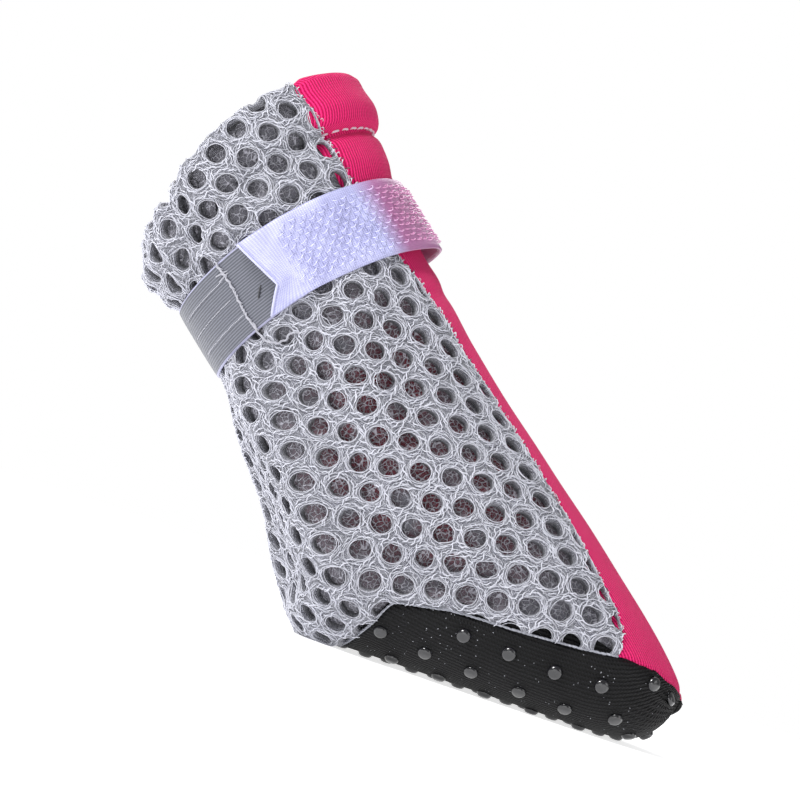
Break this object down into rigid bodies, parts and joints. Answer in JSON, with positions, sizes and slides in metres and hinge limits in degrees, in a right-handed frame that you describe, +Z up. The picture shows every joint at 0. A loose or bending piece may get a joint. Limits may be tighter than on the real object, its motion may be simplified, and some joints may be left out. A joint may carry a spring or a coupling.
{
  "type": "dog boot",
  "caption": "Small soft dog boot: open mesh upper, stretch front panel from toe to collar, ankle strap of reflective tape and hook tape, cloth sole with grip dots",
  "frame": {"origin": "bottom centre of the boot's box, on the floor the sole stands on", "axes": "+X towards the toe, +Z up, +Y to the boot's left side as it stands facing +X; the length is the longest extent and the width the shortest"},
  "size_m": [0.0972, 0.0416, 0.0817],
  "materials": {
    "air_mesh": "open-hole polyester air mesh, silver grey",
    "stretch_knit": "foam-backed stretch knit, bright pink, fine vertical wales",
    "sole_cloth": "black knitted sole cloth with moulded soft grip dots",
    "reflective_tape": "grey glass-bead reflective tape, fine lengthwise lines",
    "hook_tape": "translucent white nylon hook tape with plain edges"
  },
  "bodies": {
    "root": {"upper": "air_mesh", "front_panel": "stretch_knit", "outsole": "sole_cloth", "strap_reflective": "reflective_tape", "strap_hook": "hook_tape"}
  },
  "joints": []
}
